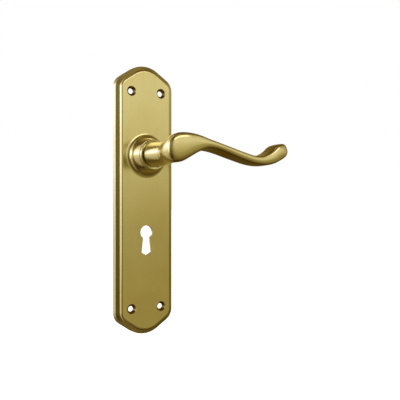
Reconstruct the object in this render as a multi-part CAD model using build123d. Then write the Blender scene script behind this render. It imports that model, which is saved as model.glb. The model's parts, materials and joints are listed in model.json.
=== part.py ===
from build123d import *
import os
from math import asin, atan2, copysign, cos, hypot, pi, radians, sin, tan

# Lever handle on a long lock plate, for one side of a door with a 57 mm centre lock.
# Millimetres. +X is the way the lever points, +Z is up and -Y is out into the room.
# The origin is on the spindle axis in the plane of the door's face, Y = 0.

# ---- lock plate ----
PLATE_WIDTH = 47.6
PLATE_HEIGHT = 200.0
PLATE_MIDDLE_Z = -33.0
APEX_RADIUS = 20.2
SHOULDER_DROP = 11.7
SHOULDER_RADIUS = 10.2
RIM_HEIGHT = 3.9
SLOPE_HEIGHT = 5.4
FACE_HEIGHT = 7.6
FACE_INSET = 2.9
RIM_EDGE_RADIUS = 0.5
FACE_EDGE_RADIUS = 1.9
RIM_WALL = 2.0
RIM_POCKET_DEPTH = 2.6
CAVITY_DEPTH = 6.0
CAVITY_INSET = FACE_INSET + RIM_WALL
NEAR = 0.01

# ---- holes in the plate ----
SCREW_SPACING_X = 24.6
SCREW_SPACING_Z = 160.4
SCREW_HOLE_RADIUS = 2.1
COUNTERSINK_RADIUS = 3.7
COUNTERSINK_DEPTH = COUNTERSINK_RADIUS - SCREW_HOLE_RADIUS
SCREW_PAD_RADIUS = 4.2
SCREW_PAD_THICKNESS = 1.0
LOCK_CENTRES = 57.0
KEY_RADIUS = 5.0
KEY_WAIST_HALF = 2.8
KEY_WAIST_DROP = 4.1
KEY_FOOT_HALF = 4.0
KEY_FOOT_DROP = 15.0
KEY_NIB_HALF = 1.1
KEY_SOLE_DROP = 16.6
KEY_NIB_DROP = 17.2

# ---- boss round the lever's neck ----
BOSS_BASE_RADIUS = 17.2
BOSS_FOOT_HEIGHT = 10.6
BOSS_FOOT_RADIUS = 13.3
BOSS_FOOT_SAG = 1.2
BOSS_FOOT_RISE = 0.9
BOSS_TOP_RADIUS = 11.1
BOSS_WALL_BULGE = 0.25
BEAD_START = 17.5
BEAD_ROOT_RADIUS = 10.6
BEAD_RADIUS = 11.2
GROOVE_WIDTH = 0.2
LIP_HEIGHT = 19.8
LIP_BORE_RADIUS = 9.9
LIP_FLOOR = 17.2
BUSH_RADIUS = 8.8
BUSH_BACK = 6.2

# ---- running parts ----
JOURNAL_RADIUS = 7.5
RUNNING_CLEARANCE = 0.05
FLAT_HALF = 6.3
NECK_RADIUS = 9.2
NECK_START = 18.0
NECK_TAPER_START = 22.0
CREASE_HEIGHT = 38.5
CREASE_RADIUS = 7.9
ELBOW_START = 37.9
ELBOW_START_RADIUS = 7.6
JOURNAL_END = 1.1
CLIP_FRONT = 2.3
CLIP_BACK = 1.6
CLIP_GROOVE_RADIUS = 6.8
CLIP_STANDS_PROUD = 1.2
CLIP_OPENING = 3.0
CLIP_EAR_X = 2.4
CLIP_EAR_DROP = 0.3
CLIP_EAR_RADIUS = 1.3
CLIP_EYE_RADIUS = 0.55
SPINDLE_SIDE = 7.9
SOCKET_SIDE = 8.1
SOCKET_DEPTH = 35.0
SPINDLE_INNER_END = 34.0
SPINDLE_REACH = 38.0
SPINDLE_CHAMFER = 0.6
GRUB_RADIUS = 2.5
GRUB_HEIGHT = 25.0
GRUB_KEY_FLATS = 2.5
GRUB_SETBACK = 0.7

# ---- lever grip ----
GRIP_FRONT = 57.0
GRIP_BACK = 41.0
FACE_CROWN = 0.7
GRIP_SHARPNESS = 6.5
BACK_SOFTNESS = 0.35
TIP_LENGTH = 10.8
TIP_FULLNESS = 2.1
TIP_SOFTENING = 3.5
TIP_STEPS = (0.3, 0.55, 0.75, 0.9, 0.98)
ROUND_SHARPNESS = 2.0
SIDE_POINTS = 12
BLEND_STEPS = 2

# One row per cross-section of the grip, from the elbow out: the top edge's X and Z,
# the bottom edge's X and Z, and how much lower the bottom edge is at the back.
GRIP_SECTIONS = [
    (13.0, 13.2, 13.5, -0.6, 1.2),
    (24.0, 10.2, 23.0, 3.2, 1.6),
    (34.0, 7.5, 32.5, 2.5, 1.6),
    (46.0, 4.3, 44.5, -1.0, 1.1),
    (58.0, 1.2, 56.5, -4.5, 0.7),
    (66.0, -0.3, 66.0, -6.5, 0.8),
    (73.0, 0.4, 75.5, -7.0, 0.8),
    (80.0, 3.4, 84.0, -5.4, 0.6),
    (86.0, 8.0, 91.0, -2.3, 0.3),
]

# One row per cross-section round the elbow, from the neck to the grip: the inner X, the
# outer X and height above the door, the outer top and bottom, the inner top and bottom,
# and the edge sharpness.
ELBOW_SECTIONS = [
    (8.4, -8.5, 44.5, 9.7, -7.8, 9.7, -6.8, 2.1),
    (9.2, -9.1, 50.5, 11.4, -8.1, 11.2, -6.2, 2.4),
    (10.0, -8.5, 55.0, 12.4, -8.3, 12.2, -5.7, 2.8),
    (10.7, -5.2, 56.9, 13.3, -8.1, 12.9, -5.2, 3.5),
    (11.4, -0.5, 57.2, 13.9, -7.4, 13.3, -4.4, 4.6),
]

# ---- spring works behind the plate ----
LEVER_TRAVEL = 40.0
ROTOR_FRONT = 5.7
ROTOR_BACK = 3.2
HUB_RADIUS = 9.8
ARM_ROOT_RADIUS = 2.8
PAD_ARM = 14.9
PAD_RADIUS = 2.6
STOP_ARM = 12.4
STOP_LUG_RADIUS = 2.4
STOP_PIN_RADIUS = 1.2
STOP_SLEEVE_RADIUS = 2.0
STOP_GAP = 0.1
STOP_PIN_SETBACK = 0.6
STOP_SLEEVE_OVERHANG = 0.8
WASHER_THICKNESS = 0.5
WAVE_THICKNESS = 0.4
WAVE_SETBACK = 0.6
SPRING_X = 14.9
SPRING_DEPTH = 3.9
SPRING_COIL_RADIUS = 1.5
SPRING_WIRE = 0.8
SPRING_TURNS = 10
SEAT_Z = 23.0
SEAT_THICKNESS = 4.0
SEAT_HALF_WIDTH = 2.6
SEAT_BACK = 1.4
SPIGOT_RADIUS = 0.9
SPIGOT_LENGTH = 9.0

# ---- cover over the spring works ----
COVER_THICKNESS = 0.8
COVER_HALF_WIDTH = 18.4
COVER_HALF_HEIGHT = 35.0
COVER_CORNER = 4.0
COVER_HOLE_RADIUS = 6.6
POST_X = 14.4
POST_Z = 31.0
POST_RADIUS = 2.6
COVER_SCREW_RADIUS = 1.25
COVER_HEAD_RADIUS = 2.05
COVER_SCREW_LENGTH = 4.6
CROSS_SLOT_LENGTH = 2.4
CROSS_SLOT_WIDTH = 0.5

FACING_OUT = Plane.XZ
SLOPE = asin(APEX_RADIUS / hypot(PLATE_WIDTH / 2, APEX_RADIUS - SHOULDER_DROP)) - atan2(
    APEX_RADIUS - SHOULDER_DROP, PLATE_WIDTH / 2
)


def outward(sketch, start, end):
    """Extrudes a front-view sketch from `start` to `end` millimetres in front of the door."""
    return extrude(Pos(0, -start, 0) * (FACING_OUT * sketch), end - start)


def disc(radius, start, end, x=0.0, z=0.0):
    """A round bar along Y, between two heights in front of the door."""
    return outward(Pos(x, z) * Circle(radius), start, end)


def turned(points):
    """A solid of revolution about the spindle axis from (radius, height) points."""
    profile = Polyline(*[(radius, -height, 0) for radius, height in points], close=True)
    return revolve(make_face(profile), Axis.Y, 360)


def plate_outline(inset):
    """The plate's front outline, with its pointed arch at each end, moved in by `inset`."""
    half_width = PLATE_WIDTH / 2
    half_height = PLATE_HEIGHT / 2
    shoulder = half_height - SHOULDER_DROP
    peak = shoulder + half_width * tan(SLOPE)
    corners = [
        (half_width, -shoulder),
        (half_width, shoulder),
        (0, peak),
        (-half_width, shoulder),
        (-half_width, -shoulder),
        (0, -peak),
    ]
    outline = Polygon(*corners, align=None)
    peaks = outline.vertices().filter_by(lambda v: abs(v.X) < half_width / 2)
    outline = fillet(peaks, APEX_RADIUS)
    shoulders = [v for v in outline.vertices() if abs(v.X) > half_width - NEAR]
    outline = fillet(shoulders, SHOULDER_RADIUS)
    if inset:
        outline = offset(outline, -inset, kind=Kind.INTERSECTION)
    return Pos(0, PLATE_MIDDLE_Z) * outline


def screw_places():
    """Front-view centres of the four door screws."""
    for side in (-1, 1):
        for end in (-1, 1):
            yield side * SCREW_SPACING_X / 2, PLATE_MIDDLE_Z + end * SCREW_SPACING_Z / 2


def post_places():
    """Front-view centres of the four posts that carry the cover."""
    for side in (-1, 1):
        for end in (-1, 1):
            yield side * POST_X, end * POST_Z


def keyhole_sketch():
    """The keyhole: a round eye over a foot that widens downwards and ends in a small nib."""
    foot = [
        (KEY_WAIST_HALF, -KEY_WAIST_DROP),
        (KEY_FOOT_HALF, -KEY_FOOT_DROP),
        (KEY_NIB_HALF, -KEY_SOLE_DROP),
        (0, -KEY_NIB_DROP),
    ]
    left_side = [(-x, z) for x, z in foot[:-1]]
    slot = Polygon(*left_side, *reversed(foot), (0, 0), align=None)
    return Pos(0, -LOCK_CENTRES) * (Circle(KEY_RADIUS) + slot)


def boss_solid():
    """The bell-shaped boss: a concave foot, a steep wall, a fine groove and a round bead."""
    foot = ThreePointArc(
        (BOSS_BASE_RADIUS, -FACE_HEIGHT),
        (BOSS_FOOT_RADIUS + BOSS_FOOT_SAG, -FACE_HEIGHT - BOSS_FOOT_RISE),
        (BOSS_FOOT_RADIUS, -BOSS_FOOT_HEIGHT),
    )
    wall_end = BEAD_START - GROOVE_WIDTH
    wall = ThreePointArc(
        foot @ 1,
        ((BOSS_FOOT_RADIUS + BOSS_TOP_RADIUS) / 2 + BOSS_WALL_BULGE, -(BOSS_FOOT_HEIGHT + wall_end) / 2),
        (BOSS_TOP_RADIUS, -wall_end),
    )
    groove = Line(wall @ 1, (BEAD_ROOT_RADIUS, -BEAD_START))
    bead = ThreePointArc(
        groove @ 1,
        (BEAD_RADIUS, -(BEAD_START + LIP_HEIGHT) / 2),
        (BEAD_ROOT_RADIUS, -LIP_HEIGHT),
    )
    rest = Polyline(
        bead @ 1, (0, -LIP_HEIGHT), (0, -CAVITY_DEPTH), (BOSS_BASE_RADIUS, -CAVITY_DEPTH), foot @ 0
    )
    return revolve(make_face(foot + wall + groove + bead + rest), Axis.Y, 360)


def backplate():
    """The plate: sloped rim, raised face, hollow back, boss, keyhole, holes and cover posts."""
    rim = outward(plate_outline(0), 0, RIM_HEIGHT)
    slope_foot = Pos(0, -RIM_HEIGHT, 0) * (FACING_OUT * plate_outline(0))
    slope_top = Pos(0, -SLOPE_HEIGHT, 0) * (FACING_OUT * plate_outline(FACE_INSET))
    rim += loft([slope_foot.face(), slope_top.face()], ruled=True)
    corner = [edge for edge in rim.edges() if abs(edge.center().Y + RIM_HEIGHT) < NEAR]
    rim = fillet(corner, RIM_EDGE_RADIUS)
    step = outward(plate_outline(FACE_INSET), 0, FACE_HEIGHT)
    step = fillet(step.faces().sort_by(Axis.Y)[0].edges(), FACE_EDGE_RADIUS)
    plate = rim + step
    plate -= outward(plate_outline(RIM_WALL), 0, RIM_POCKET_DEPTH)
    plate -= outward(plate_outline(CAVITY_INSET), 0, CAVITY_DEPTH)
    plate += boss_solid()
    plate -= disc(LIP_BORE_RADIUS, LIP_FLOOR, LIP_HEIGHT)
    plate -= disc(BUSH_RADIUS, CAVITY_DEPTH, LIP_FLOOR)
    plate -= outward(keyhole_sketch(), 0, FACE_HEIGHT)
    for x, z in post_places():
        plate += disc(POST_RADIUS, COVER_THICKNESS, CAVITY_DEPTH, x, z)
        plate -= disc(COVER_SCREW_RADIUS, COVER_THICKNESS, CAVITY_DEPTH, x, z)
    for x, z in screw_places():
        plate += disc(SCREW_PAD_RADIUS, CAVITY_DEPTH - SCREW_PAD_THICKNESS, CAVITY_DEPTH, x, z)
        plate -= disc(SCREW_HOLE_RADIUS, 0, FACE_HEIGHT, x, z)
        sink = Cone(SCREW_HOLE_RADIUS, COUNTERSINK_RADIUS, COUNTERSINK_DEPTH)
        plate -= Pos(x, COUNTERSINK_DEPTH / 2 - FACE_HEIGHT, z) * Rot(90, 0, 0) * sink
    return plate


def boss_bush():
    """The plain nylon bearing pressed into the boss."""
    inner = JOURNAL_RADIUS + RUNNING_CLEARANCE
    return disc(BUSH_RADIUS, BUSH_BACK, LIP_FLOOR) - disc(inner, BUSH_BACK, LIP_FLOOR)


def neck_washer():
    """The nylon washer that the lever's shoulder turns on."""
    inner = JOURNAL_RADIUS + RUNNING_CLEARANCE
    return disc(NECK_RADIUS, LIP_FLOOR, NECK_START) - disc(inner, LIP_FLOOR, NECK_START)


def rounded_section(corners, sharpness, crown):
    """A closed curve inside four corners, crisp and crowned in front and softer at the back.

    The corners are the front's top and bottom, then the back's. The rim is a superellipse
    whose exponent is `sharpness` in front.
    """
    front_top, front_bottom, back_top, back_bottom = corners
    forward = (front_top + front_bottom - back_top - back_bottom).normalized()
    sides = []
    for side in range(4):
        points = []
        for index in range(SIDE_POINTS):
            angle = pi / 2 * (side - 0.5 + index / (SIDE_POINTS - 1))
            in_front = cos(angle) > 0
            power = sharpness if in_front else 2 + (sharpness - 2) * BACK_SOFTNESS
            across = copysign(abs(cos(angle)) ** (2 / power), cos(angle))
            along = copysign(abs(sin(angle)) ** (2 / power), sin(angle))
            front = front_top * (1 + along) / 2 + front_bottom * (1 - along) / 2
            back = back_top * (1 + along) / 2 + back_bottom * (1 - along) / 2
            point = front * (1 + across) / 2 + back * (1 - across) / 2
            if in_front:
                point += forward * crown * (1 - along**2) * across
            points.append(point)
        sides.append(Spline(*points))
    return Wire(sides)


def neck_end_row():
    """The corners of the round section, just inside the neck, that the elbow starts from."""
    radius = ELBOW_START_RADIUS
    corners = [Vector(x, -ELBOW_START, z) for x in (-radius, radius) for z in (radius, -radius)]
    return corners, ROUND_SHARPNESS, 0.0


def elbow_row(numbers, portion):
    """The corners of an elbow section. Its crown grows with the `portion` of the way round."""
    inner_x, outer_x, outer_height, top, bottom, inner_top, inner_bottom, sharpness = numbers
    corners = [
        Vector(outer_x, -outer_height, top),
        Vector(outer_x, -outer_height, bottom),
        Vector(inner_x, -GRIP_BACK, inner_top),
        Vector(inner_x, -GRIP_BACK, inner_bottom),
    ]
    return corners, sharpness, FACE_CROWN * portion


def grip_row(numbers, shrink=1.0, advance=0.0):
    """The corners of a grip section, square to its run, for the tip shrunk and moved on."""
    top_x, top_z, bottom_x, bottom_z, back_drop = numbers
    top = Vector(top_x, 0, top_z)
    bottom = Vector(bottom_x, 0, bottom_z)
    up_way = (top - bottom).normalized()
    run_way = Vector(up_way.Z, 0, -up_way.X)
    corners = [
        top - Vector(0, GRIP_FRONT, 0),
        bottom - Vector(0, GRIP_FRONT, 0),
        top - Vector(0, GRIP_BACK, 0),
        bottom - Vector(0, GRIP_BACK, 0) - up_way * back_drop,
    ]
    centre = middle(corners)
    corners = [centre + (corner - centre) * shrink + run_way * advance for corner in corners]
    return corners, GRIP_SHARPNESS - TIP_SOFTENING * (1 - shrink), FACE_CROWN * shrink


def middle(corners):
    """The mean of four corners."""
    return (corners[0] + corners[1] + corners[2] + corners[3]) / 4


def blended_rows(rows):
    """Rows blended smoothly through the given ones, with BLEND_STEPS rows to each gap."""
    gaps = [(middle(b[0]) - middle(a[0])).length for a, b in zip(rows, rows[1:])]
    flat = [[n for corner in row[0] for n in tuple(corner)] + list(row[1:]) for row in rows]
    rises = [[(q - p) / gap for p, q in zip(a, b)] for a, b, gap in zip(flat, flat[1:], gaps)]
    slopes = [rises[0]]
    for before, after, gap_before, gap_after in zip(rises, rises[1:], gaps, gaps[1:]):
        whole = gap_before + gap_after
        slopes.append([(p * gap_after + q * gap_before) / whole for p, q in zip(before, after)])
    slopes.append(rises[-1])
    for index, gap in enumerate(gaps):
        for step in range(BLEND_STEPS):
            t = step / BLEND_STEPS
            numbers = []
            for p, q, leave, arrive in zip(flat[index], flat[index + 1], slopes[index], slopes[index + 1]):
                numbers.append(
                    p * (1 + 2 * t) * (1 - t) ** 2
                    + q * (3 - 2 * t) * t**2
                    + gap * (leave * t * (1 - t) ** 2 - arrive * t**2 * (1 - t))
                )
            corners = [Vector(*numbers[3 * n : 3 * n + 3]) for n in range(4)]
            yield corners, numbers[-2], numbers[-1]
    yield rows[-1]


def grip_solid():
    """The grip, from inside the neck's crease, round the elbow and out to the curled tip."""
    rows = [neck_end_row()]
    for index, numbers in enumerate(ELBOW_SECTIONS):
        rows.append(elbow_row(numbers, (index + 1) / (len(ELBOW_SECTIONS) + 1)))
    for numbers in GRIP_SECTIONS:
        rows.append(grip_row(numbers))
    rows = list(blended_rows(rows))
    for portion in TIP_STEPS:
        shrink = (1 - portion**TIP_FULLNESS) ** (1 / TIP_FULLNESS)
        rows.append(grip_row(GRIP_SECTIONS[-1], shrink, portion * TIP_LENGTH))
    return Solid.make_loft([rounded_section(*row) for row in rows])


def neck_solid():
    """The lever's turned neck, with the journal, its flats and the clip's groove."""
    neck = turned(
        [
            (0, CREASE_HEIGHT),
            (CREASE_RADIUS, CREASE_HEIGHT),
            (NECK_RADIUS, NECK_TAPER_START),
            (NECK_RADIUS, NECK_START),
            (JOURNAL_RADIUS, NECK_START),
            (JOURNAL_RADIUS, CLIP_FRONT),
            (CLIP_GROOVE_RADIUS, CLIP_FRONT),
            (CLIP_GROOVE_RADIUS, CLIP_BACK),
            (JOURNAL_RADIUS, CLIP_BACK),
            (JOURNAL_RADIUS, JOURNAL_END),
            (0, JOURNAL_END),
        ]
    )
    for side in (-1, 1):
        flat = Pos(0, side * (FLAT_HALF + JOURNAL_RADIUS / 2)) * Rectangle(
            2 * JOURNAL_RADIUS, JOURNAL_RADIUS
        )
        neck -= outward(flat, JOURNAL_END, CAVITY_DEPTH)
    return neck


def lever():
    """The neck and grip in one casting, bored square for the spindle and tapped below."""
    body = Part() + [neck_solid(), grip_solid()]
    body -= outward(Rectangle(SOCKET_SIDE, SOCKET_SIDE), 0, SOCKET_DEPTH)
    return body - Pos(0, -GRUB_HEIGHT, -NECK_RADIUS / 2) * Cylinder(GRUB_RADIUS, NECK_RADIUS)


def spindle():
    """The square steel bar that carries the lever's turn into the lock."""
    bar = outward(Rectangle(SPINDLE_SIDE, SPINDLE_SIDE), -SPINDLE_REACH, SPINDLE_INNER_END)
    ends = bar.faces().filter_by(Axis.Y)
    return chamfer([edge for face in ends for edge in face.edges()], SPINDLE_CHAMFER)


def grub_screw():
    """The socket set screw that grips the spindle from under the neck."""
    top = -SPINDLE_SIDE / 2
    length = NECK_RADIUS - SPINDLE_SIDE / 2 - GRUB_SETBACK
    screw = Pos(0, -GRUB_HEIGHT, top - length / 2) * Cylinder(GRUB_RADIUS - RUNNING_CLEARANCE, length)
    socket = extrude(RegularPolygon(GRUB_KEY_FLATS / 2, 6, major_radius=False), length / 2)
    return screw - Pos(0, -GRUB_HEIGHT, top - length) * socket


def lug_centre(arm, degrees_from_top):
    """Front-view place of a rotor lug at rest, measured round from the top towards +X."""
    angle = radians(degrees_from_top)
    return arm * sin(angle), arm * cos(angle)


def rotor():
    """The drive plate on the journal: two pads push the springs and one lug meets the stops."""
    rest = -LEVER_TRAVEL / 2
    hub = Sketch() + Circle(HUB_RADIUS)
    for side in (-90, 90):
        x, z = lug_centre(PAD_ARM, side + rest)
        hub += make_hull((Circle(ARM_ROOT_RADIUS) + Pos(x, z) * Circle(PAD_RADIUS)).edges())
    x, z = lug_centre(STOP_ARM, rest)
    hub += make_hull((Circle(ARM_ROOT_RADIUS) + Pos(x, z) * Circle(STOP_LUG_RADIUS)).edges())
    flats = Circle(JOURNAL_RADIUS + RUNNING_CLEARANCE) & Rectangle(
        2 * HUB_RADIUS, 2 * (FLAT_HALF + RUNNING_CLEARANCE)
    )
    return outward(hub - flats, ROTOR_BACK, ROTOR_FRONT)


def ring(inner, outer, start, end):
    """A flat ring round the journal."""
    return disc(outer, start, end) - disc(inner, start, end)


def thrust_washer():
    """The hard washer behind the rotor."""
    inner = JOURNAL_RADIUS + RUNNING_CLEARANCE
    return ring(inner, HUB_RADIUS, ROTOR_BACK - WASHER_THICKNESS, ROTOR_BACK)


def wave_washer():
    """The thin spring washer that takes up the lever's end play."""
    inner = JOURNAL_RADIUS + RUNNING_CLEARANCE
    front = ROTOR_BACK - WASHER_THICKNESS
    return ring(inner, HUB_RADIUS - WAVE_SETBACK, front - WAVE_THICKNESS, front)


def circlip():
    """The open clip in the journal's groove, with two eyed ears."""
    inner = CLIP_GROOVE_RADIUS + RUNNING_CLEARANCE
    outer = JOURNAL_RADIUS + CLIP_STANDS_PROUD
    clip = Circle(outer) - Circle(inner)
    clip -= Pos(0, -outer) * Rectangle(CLIP_OPENING, outer)
    for side in (-1, 1):
        ear = Pos(side * CLIP_EAR_X, -outer - CLIP_EAR_DROP)
        clip += ear * Circle(CLIP_EAR_RADIUS)
        clip -= ear * Circle(CLIP_EYE_RADIUS)
    clip -= Circle(inner)
    return outward(clip, CLIP_BACK, CLIP_FRONT)


def stop_place(side):
    """Front-view centre of a stop: side -1 is met at rest and +1 at full travel."""
    turn = side * LEVER_TRAVEL / 2
    x, z = lug_centre(STOP_ARM, turn)
    reach = STOP_LUG_RADIUS + STOP_SLEEVE_RADIUS + STOP_GAP
    angle = radians(turn)
    return x + side * reach * cos(angle), z - side * reach * sin(angle)


def stop_pin(side):
    """A steel stop riveted inside the plate."""
    x, z = stop_place(side)
    return disc(STOP_PIN_RADIUS, COVER_THICKNESS + STOP_PIN_SETBACK, CAVITY_DEPTH, x, z)


def stop_sleeve(side):
    """The rubber sleeve that quiets a stop."""
    x, z = stop_place(side)
    back = ROTOR_BACK - STOP_SLEEVE_OVERHANG
    sleeve = disc(STOP_SLEEVE_RADIUS, back, CAVITY_DEPTH, x, z)
    return sleeve - disc(STOP_PIN_RADIUS, back, CAVITY_DEPTH, x, z)


def spring_rest_end():
    """Height of the left spring's moving end when the lever is at rest."""
    x, z = lug_centre(PAD_ARM, -90 - LEVER_TRAVEL / 2)
    return z + PAD_RADIUS + STOP_GAP


def return_spring(side):
    """A compression spring that runs from a rotor pad to its seat. Side -1 stands up on the left."""
    low = spring_rest_end() + SPRING_WIRE
    high = SEAT_Z - SPRING_WIRE
    path = Helix((high - low) / SPRING_TURNS, high - low, SPRING_COIL_RADIUS)
    wire = Plane(path @ 0, z_dir=path % 0) * Circle(SPRING_WIRE / 2)
    coil = sweep(wire, path=path, is_frenet=True)
    coil = Pos(-SPRING_X, -SPRING_DEPTH, low) * coil
    return coil if side < 0 else Rot(0, 180, 0) * coil


def spring_seat(side):
    """The brass block riveted in the plate that backs a spring and holds its spigot."""
    block = Box(2 * SEAT_HALF_WIDTH, CAVITY_DEPTH - SEAT_BACK, SEAT_THICKNESS)
    block = Pos(-SPRING_X, -(CAVITY_DEPTH + SEAT_BACK) / 2, SEAT_Z + SEAT_THICKNESS / 2) * block
    spigot = Pos(-SPRING_X, -SPRING_DEPTH, SEAT_Z - SPIGOT_LENGTH / 2)
    seat = block + spigot * Cylinder(SPIGOT_RADIUS, SPIGOT_LENGTH)
    return seat if side < 0 else Rot(0, 180, 0) * seat


def cover_plate():
    """The thin steel cover that closes the spring works on the door side."""
    sheet = RectangleRounded(2 * COVER_HALF_WIDTH, 2 * COVER_HALF_HEIGHT, COVER_CORNER)
    sheet -= Circle(COVER_HOLE_RADIUS)
    cover = outward(sheet, 0, COVER_THICKNESS)
    for x, z in post_places():
        cover -= Pos(x, -COVER_THICKNESS / 2, z) * Rot(90, 0, 0) * screw_head()
    return cover


def screw_head():
    """The countersunk head of a cover screw, its wide end towards the door."""
    return Cone(COVER_HEAD_RADIUS, COVER_SCREW_RADIUS, COVER_THICKNESS)


def cover_screws():
    """Four small countersunk screws with cross slots."""
    screws = []
    for x, z in post_places():
        head = Pos(x, -COVER_THICKNESS / 2, z) * Rot(90, 0, 0) * screw_head()
        shank = disc(COVER_SCREW_RADIUS, COVER_THICKNESS, COVER_SCREW_LENGTH, x, z)
        arm = Rectangle(CROSS_SLOT_LENGTH, CROSS_SLOT_WIDTH)
        cross = arm + Rot(0, 0, 90) * arm
        slot = outward(Pos(x, z) * cross, 0, COVER_THICKNESS / 2)
        screws.append(head + shank - slot)
    return Compound(children=screws)


def save(name, shape):
    """Writes one sub-part to its own file."""
    export_step(shape, f"parts/{name}.step")


os.makedirs("parts", exist_ok=True)
save("backplate", backplate())
save("boss_bush", boss_bush())
save("neck_washer", neck_washer())
save("lever", lever())
save("spindle", spindle())
save("grub_screw", grub_screw())
save("rotor", rotor())
save("thrust_washer", thrust_washer())
save("wave_washer", wave_washer())
save("circlip", circlip())
save("rest_stop_pin", stop_pin(-1))
save("rest_stop_sleeve", stop_sleeve(-1))
save("travel_stop_pin", stop_pin(1))
save("travel_stop_sleeve", stop_sleeve(1))
save("left_return_spring", return_spring(-1))
save("right_return_spring", return_spring(1))
save("left_spring_seat", spring_seat(-1))
save("right_spring_seat", spring_seat(1))
save("cover_plate", cover_plate())
save("cover_screws", cover_screws())
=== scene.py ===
import json
from math import pi, radians

import bpy
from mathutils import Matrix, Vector

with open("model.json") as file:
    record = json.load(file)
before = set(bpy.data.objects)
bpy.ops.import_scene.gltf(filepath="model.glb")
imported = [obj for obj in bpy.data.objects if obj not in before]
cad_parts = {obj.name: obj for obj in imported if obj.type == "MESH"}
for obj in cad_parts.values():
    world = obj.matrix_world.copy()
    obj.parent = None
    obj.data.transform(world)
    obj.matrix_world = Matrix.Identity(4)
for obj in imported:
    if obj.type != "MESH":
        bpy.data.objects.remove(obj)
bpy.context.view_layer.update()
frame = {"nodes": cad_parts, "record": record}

# ---- view and stage (metres and degrees) ----
CAMERA_PLACE = (-0.2258, -0.4285, -0.033)
CAMERA_TURN = 33.0
CAMERA_LENS = 57.5
CAMERA_SENSOR = 36.0
CAMERA_NEAR = 0.01
CAMERA_FAR = 100.0
FLOOR_DROP = 0.4
FLOOR_HALF = 20.0
FLOOR_PALE = (0.93, 0.93, 0.92, 1)
FLOOR_ROUGHNESS = 0.9
FLOOR_GLOW = 1.0

# ---- studio light ----
# The polished brass mirrors the room, so the room's light makes the look of the metal.
# The room by height: (sine of the angle above the horizon, colour).
ROOM_HEIGHTS = (
    (-1.0, (0.14, 0.10, 0.03)),
    (-0.5, (0.24, 0.18, 0.06)),
    (-0.25, (0.30, 0.26, 0.105)),
    (-0.14, (0.42, 0.35, 0.145)),
    (-0.07, (0.34, 0.285, 0.12)),
    (0.0, (0.49, 0.43, 0.21)),
    (0.06, (0.62, 0.565, 0.335)),
    (0.15, (0.79, 0.74, 0.51)),
    (0.22, (0.88, 0.84, 0.67)),
    (0.5, (0.56, 0.47, 0.22)),
    (0.75, (0.27, 0.21, 0.08)),
)
# The room by direction: (degrees from straight out of the door towards +X, share of light).
ROOM_TURNS = (
    (-180, (0.42, 0.33, 0.14)),
    (-168, (0.60, 0.52, 0.36)),
    (-156, (1.95, 2.1, 3.9)),
    (-78, (1.95, 2.1, 3.6)),
    (-56, (0.6, 0.6, 0.65)),
    (-42, (0.42, 0.40, 0.34)),
    (-26, (0.22, 0.20, 0.155)),
    (-9, (0.8, 0.8, 0.84)),
    (10, (1.08, 1.08, 1.14)),
    (30, (1.02, 1.02, 1.04)),
    (60, (0.72, 0.70, 0.64)),
    (110, (0.36, 0.28, 0.12)),
)
# Each softbox: (place, width and height, power).
LEFT_BOX = ((-1.3, -0.45, 0.2), (0.7, 0.9), 1.2)
FRONT_BOX = ((0.35, -1.5, 1.0), (1.2, 0.5), 2.4)

# ---- finishes ----
# The part of a noise texture's range that drives a surface's roughness.
NOISE_LOW = 0.3
NOISE_HIGH = 0.7
BRASS_PALE = (0.83, 0.75, 0.42)
BRASS_DEEP = (0.77, 0.67, 0.33)
BRASS_TARNISH = (0.62, 0.49, 0.19)
SPOT_START = 0.66
SPOT_FULL = 0.8
SPOT_STRENGTH = 0.35
# Painted shade: the dark colour laid inside the countersinks in place of the shade that falls in them.
SINK_PAINTED_SHADE = (0.26, 0.18, 0.06)
PLATE_MIDDLE = (0.0, 0.0, -0.033)
SINK_PLACE = (0.0123, 0.0, 0.0802)
SINK_RADIUS = 0.0037
SINK_FADE = 0.9
# Colours along the noise: (place, colour).
BRASS_CLOUDS = ((0.35, BRASS_DEEP), (0.6, BRASS_PALE))
TURNED_BRASS_CLOUDS = ((0.3, (0.52, 0.37, 0.14)), (0.7, (0.68, 0.52, 0.24)))
ZINC_CLOUDS = ((0.3, (0.50, 0.53, 0.58)), (0.52, (0.62, 0.62, 0.61)), (0.72, (0.66, 0.62, 0.52)))
BRIGHT_STEEL_CLOUDS = ((0.3, (0.56, 0.56, 0.57)), (0.7, (0.70, 0.70, 0.71)))
SPRING_STEEL_CLOUDS = ((0.3, (0.24, 0.27, 0.34)), (0.5, (0.40, 0.41, 0.43)), (0.72, (0.46, 0.38, 0.26)))
BLACK_STEEL_CLOUDS = ((0.4, (0.035, 0.035, 0.04)), (0.75, (0.13, 0.13, 0.14)))
NYLON_CLOUDS = ((0.3, (0.72, 0.70, 0.62)), (0.7, (0.82, 0.81, 0.75)))
RUBBER_CLOUDS = ((0.35, (0.02, 0.02, 0.02)), (0.75, (0.05, 0.048, 0.045)))


def make_camera():
    """A level camera at the height of the plate's middle, turned towards the object."""
    data = bpy.data.cameras.new("camera")
    data.lens = CAMERA_LENS
    data.sensor_width = CAMERA_SENSOR
    data.clip_start = CAMERA_NEAR
    data.clip_end = CAMERA_FAR
    camera = bpy.data.objects.new("camera", data)
    camera.location = CAMERA_PLACE
    camera.rotation_euler = (radians(90), 0, -radians(CAMERA_TURN))
    bpy.context.scene.collection.objects.link(camera)
    bpy.context.scene.camera = camera


def make_softbox(name, place, size, power):
    """A rectangular area light that faces the object."""
    data = bpy.data.lights.new(name, "AREA")
    data.shape = "RECTANGLE"
    data.size, data.size_y = size
    data.energy = power
    light = bpy.data.objects.new(name, data)
    light.location = place
    light.rotation_euler = (-Vector(place)).to_track_quat("-Z", "Y").to_euler()
    bpy.context.scene.collection.objects.link(light)


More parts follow.
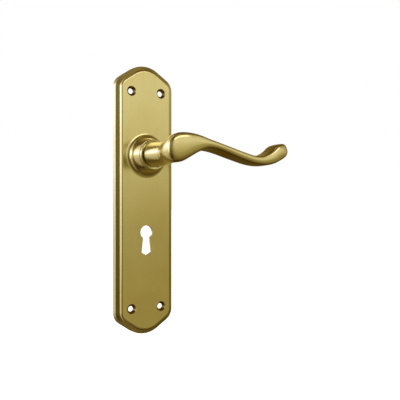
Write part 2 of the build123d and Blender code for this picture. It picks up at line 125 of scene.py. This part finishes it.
def make_surroundings():
    """A soft room: pale to the left and front, dark round the camera, behind, low and high."""
    world = bpy.data.worlds.new("studio")
    bpy.context.scene.world = world
    world.use_nodes = True
    tree = world.node_tree
    place = tree.nodes.new("ShaderNodeTexCoord")
    parts = tree.nodes.new("ShaderNodeSeparateXYZ")
    tree.links.new(place.outputs["Generated"], parts.inputs[0])
    height = map_range(tree, parts.outputs["Z"], -1, 1, 0, 1)
    room = colour_ramp(tree, height, [((sine + 1) / 2, colour) for sine, colour in ROOM_HEIGHTS])
    outward = map_range(tree, parts.outputs["Y"], 1, -1, -1, 1)
    turn = tree.nodes.new("ShaderNodeMath")
    turn.operation = "ARCTAN2"
    tree.links.new(parts.outputs["X"], turn.inputs[0])
    tree.links.new(outward, turn.inputs[1])
    around = map_range(tree, turn.outputs[0], -pi, pi, 0, 1)
    shares = [((degrees + 180) / 360, share) for degrees, share in ROOM_TURNS]
    share = colour_ramp(tree, around, shares)
    mixed = mix_colours(tree, None, room, share, "MULTIPLY")
    seen = tree.nodes["Background"]
    tree.links.new(mixed, seen.inputs["Color"])
    white = tree.nodes.new("ShaderNodeBackground")
    white.inputs["Color"].default_value = (1, 1, 1, 1)
    choice = tree.nodes.new("ShaderNodeMixShader")
    ray = tree.nodes.new("ShaderNodeLightPath")
    tree.links.new(ray.outputs["Is Camera Ray"], choice.inputs["Fac"])
    tree.links.new(seen.outputs[0], choice.inputs[1])
    tree.links.new(white.outputs[0], choice.inputs[2])
    tree.links.new(choice.outputs[0], tree.nodes["World Output"].inputs["Surface"])


def make_floor():
    """The plain pale floor under the object."""
    turns = ((-1, -1), (1, -1), (1, 1), (-1, 1))
    corners = [(x * FLOOR_HALF, y * FLOOR_HALF, -FLOOR_DROP) for x, y in turns]
    mesh = bpy.data.meshes.new("floor")
    mesh.from_pydata(corners, [], [(0, 1, 2, 3)])
    floor = bpy.data.objects.new("floor", mesh)
    bpy.context.scene.collection.objects.link(floor)
    floor.visible_glossy = False
    material = bpy.data.materials.new("floor")
    material.use_nodes = True
    shader = material.node_tree.nodes["Principled BSDF"]
    shader.inputs["Base Color"].default_value = FLOOR_PALE
    shader.inputs["Roughness"].default_value = FLOOR_ROUGHNESS
    shader.inputs["Emission Color"].default_value = FLOOR_PALE
    shader.inputs["Emission Strength"].default_value = FLOOR_GLOW
    mesh.materials.append(material)


def map_range(tree, value, low, high, new_low, new_high):
    """The value moved smoothly from one range to another and held inside it."""
    node = tree.nodes.new("ShaderNodeMapRange")
    node.clamp = True
    tree.links.new(value, node.inputs["Value"])
    for name, number in (("From Min", low), ("From Max", high), ("To Min", new_low), ("To Max", new_high)):
        node.inputs[name].default_value = number
    return node.outputs["Result"]


def colour_ramp(tree, value, stops):
    """A colour from the value, blended between (place, colour) stops."""
    node = tree.nodes.new("ShaderNodeValToRGB")
    elements = node.color_ramp.elements
    while len(elements) < len(stops):
        elements.new(0.5)
    for element, (place, colour) in zip(elements, stops):
        element.position = place
        element.color = (*colour, 1)
    tree.links.new(value, node.inputs["Fac"])
    return node.outputs["Color"]


def mix_colours(tree, value, first, second, blend="MIX"):
    """A blend of two colours by the value, or in full where it is None.

    The second colour is fixed or a socket.
    """
    node = tree.nodes.new("ShaderNodeMix")
    node.data_type = "RGBA"
    node.blend_type = blend
    factor, colour_a, colour_b = node.inputs[0], node.inputs[6], node.inputs[7]
    if value is None:
        factor.default_value = 1.0
    else:
        tree.links.new(value, factor)
    tree.links.new(first, colour_a)
    if isinstance(second, tuple):
        colour_b.default_value = second
    else:
        tree.links.new(second, colour_b)
    return node.outputs[2]


def noise(tree, scale, detail=4.0, stretch=(1, 1, 1), lift=0.0):
    """Noise in the object's own coordinates, stretched along its axes."""
    place = tree.nodes.new("ShaderNodeTexCoord")
    mapping = tree.nodes.new("ShaderNodeMapping")
    mapping.inputs["Scale"].default_value = stretch
    mapping.inputs["Location"].default_value = (lift, lift, lift)
    texture = tree.nodes.new("ShaderNodeTexNoise")
    texture.inputs["Scale"].default_value = scale
    texture.inputs["Detail"].default_value = detail
    tree.links.new(place.outputs["Object"], mapping.inputs["Vector"])
    tree.links.new(mapping.outputs["Vector"], texture.inputs["Vector"])
    return texture.outputs["Fac"]


def add_grain(tree, shader, pattern, roughness, strength, depth):
    """Uneven roughness, between two numbers, and fine relief that follow one pattern."""
    rough = map_range(tree, pattern, NOISE_LOW, NOISE_HIGH, *roughness)
    tree.links.new(rough, shader.inputs["Roughness"])
    bump = tree.nodes.new("ShaderNodeBump")
    bump.inputs["Strength"].default_value = strength
    bump.inputs["Distance"].default_value = depth
    tree.links.new(pattern, bump.inputs["Height"])
    tree.links.new(bump.outputs["Normal"], shader.inputs["Normal"])


def add_clouds(tree, shader, pattern, stops):
    """The surface's colour, blended along a pattern."""
    tree.links.new(colour_ramp(tree, pattern, stops), shader.inputs["Base Color"])


def start_material(name, metallic, **sockets):
    """A new material's tree and shader, with its constant sockets set."""
    material = bpy.data.materials.new(name)
    material.use_nodes = True
    tree = material.node_tree
    shader = tree.nodes["Principled BSDF"]
    shader.inputs["Metallic"].default_value = metallic
    for socket, value in sockets.items():
        shader.inputs[socket.replace("_", " ")].default_value = value
    return material, tree, shader


def painted_shade_in_sinks(tree):
    """The mask of the painted shade in the countersinks: one inside the plate's four countersinks, fading
    to nothing just inside their edges.
    """
    value = tree.nodes.new("ShaderNodeTexCoord").outputs["Object"]
    steps = (
        ("SUBTRACT", PLATE_MIDDLE, "Vector"),
        ("ABSOLUTE", None, "Vector"),
        ("SUBTRACT", SINK_PLACE, "Vector"),
        ("MULTIPLY", (1, 0, 1), "Vector"),
        ("LENGTH", None, "Value"),
    )
    for operation, fixed, result in steps:
        node = tree.nodes.new("ShaderNodeVectorMath")
        node.operation = operation
        tree.links.new(value, node.inputs[0])
        if fixed:
            node.inputs[1].default_value = fixed
        value = node.outputs[result]
    return map_range(tree, value, SINK_RADIUS * SINK_FADE, SINK_RADIUS, 1, 0)


def polished_brass():
    """Polished, lacquered brass: clouds, faint polishing lines, tarnish spots and painted shade darkening
    the countersinks.
    """
    material, tree, shader = start_material("polished_brass", 1.0, Coat_Weight=0.25, Coat_Roughness=0.06)
    colour = colour_ramp(tree, noise(tree, scale=22, detail=5), BRASS_CLOUDS)
    specks = noise(tree, scale=260, detail=6, lift=3.0)
    spots = map_range(tree, specks, SPOT_START, SPOT_FULL, 0, SPOT_STRENGTH)
    colour = mix_colours(tree, spots, colour, (*BRASS_TARNISH, 1))
    # Painted shade: the countersinks are darkened in the colour itself, standing in for the shade inside
    # them.
    colour = mix_colours(tree, painted_shade_in_sinks(tree), colour, (*SINK_PAINTED_SHADE, 1))
    tree.links.new(colour, shader.inputs["Base Color"])
    lines = noise(tree, scale=900, detail=3, stretch=(1, 1, 0.03))
    add_grain(tree, shader, lines, roughness=(0.15, 0.22), strength=0.06, depth=0.00004)
    return material


def turned_brass():
    """Plain turned brass with tool lines and a dull skin."""
    material, tree, shader = start_material("turned_brass", 1.0)
    add_clouds(tree, shader, noise(tree, scale=180), TURNED_BRASS_CLOUDS)
    lines = noise(tree, scale=1400, detail=2, stretch=(1, 1, 0.05))
    add_grain(tree, shader, lines, roughness=(0.28, 0.45), strength=0.2, depth=0.00005)
    return material


def plated_steel():
    """Zinc plate: pale, slightly warm and blue clouds over a fine rolled grain."""
    material, tree, shader = start_material("plated_steel", 1.0)
    add_clouds(tree, shader, noise(tree, scale=90, detail=5), ZINC_CLOUDS)
    grain = noise(tree, scale=1100, detail=3, stretch=(0.05, 1, 1))
    add_grain(tree, shader, grain, roughness=(0.26, 0.42), strength=0.15, depth=0.00005)
    return material


def bright_steel():
    """Bright turned steel with fine tool marks."""
    material, tree, shader = start_material("bright_steel", 1.0)
    add_clouds(tree, shader, noise(tree, scale=300), BRIGHT_STEEL_CLOUDS)
    marks = noise(tree, scale=2200, detail=3)
    add_grain(tree, shader, marks, roughness=(0.18, 0.32), strength=0.15, depth=0.00003)
    return material


def spring_steel():
    """Oiled spring temper: dark grey with straw and blue heat colours."""
    material, tree, shader = start_material("spring_steel", 1.0, Coat_Weight=0.3, Coat_Roughness=0.2)
    add_clouds(tree, shader, noise(tree, scale=240), SPRING_STEEL_CLOUDS)
    grain = noise(tree, scale=2600, detail=3)
    add_grain(tree, shader, grain, roughness=(0.3, 0.45), strength=0.15, depth=0.00003)
    return material


def black_steel():
    """Black oxide steel, rubbed slightly grey."""
    material, tree, shader = start_material("black_steel", 0.9)
    add_clouds(tree, shader, noise(tree, scale=420, detail=5), BLACK_STEEL_CLOUDS)
    grain = noise(tree, scale=3000)
    add_grain(tree, shader, grain, roughness=(0.35, 0.55), strength=0.25, depth=0.00004)
    return material


def nylon():
    """Natural white nylon: slightly clouded, waxy and soft."""
    material, tree, shader = start_material("nylon", 0.0, Subsurface_Weight=0.2, Subsurface_Scale=0.001)
    add_clouds(tree, shader, noise(tree, scale=200), NYLON_CLOUDS)
    grain = noise(tree, scale=1800)
    add_grain(tree, shader, grain, roughness=(0.38, 0.52), strength=0.15, depth=0.00004)
    return material


def black_rubber():
    """Moulded black rubber with a fine dull grain."""
    material, tree, shader = start_material("black_rubber", 0.0)
    add_clouds(tree, shader, noise(tree, scale=500, detail=5), RUBBER_CLOUDS)
    grain = noise(tree, scale=2400, detail=5)
    add_grain(tree, shader, grain, roughness=(0.65, 0.85), strength=0.4, depth=0.00005)
    return material


FINISHES = {
    "polished_brass": polished_brass,
    "turned_brass": turned_brass,
    "plated_steel": plated_steel,
    "bright_steel": bright_steel,
    "spring_steel": spring_steel,
    "black_steel": black_steel,
    "nylon": nylon,
    "black_rubber": black_rubber,
}


def dress_nodes():
    """Gives each CAD node the finish that the record names for it."""
    made = {name: finish() for name, finish in FINISHES.items()}
    for subpart in frame["record"]["subparts"]:
        mesh = frame["nodes"][subpart["node"]].data
        mesh.materials.clear()
        mesh.materials.append(made[subpart["material_slot"]])


bpy.context.scene.view_settings.view_transform = "Standard"
make_camera()
make_surroundings()
make_floor()
make_softbox("left_box", *LEFT_BOX)
make_softbox("front_box", *FRONT_BOX)
dress_nodes()
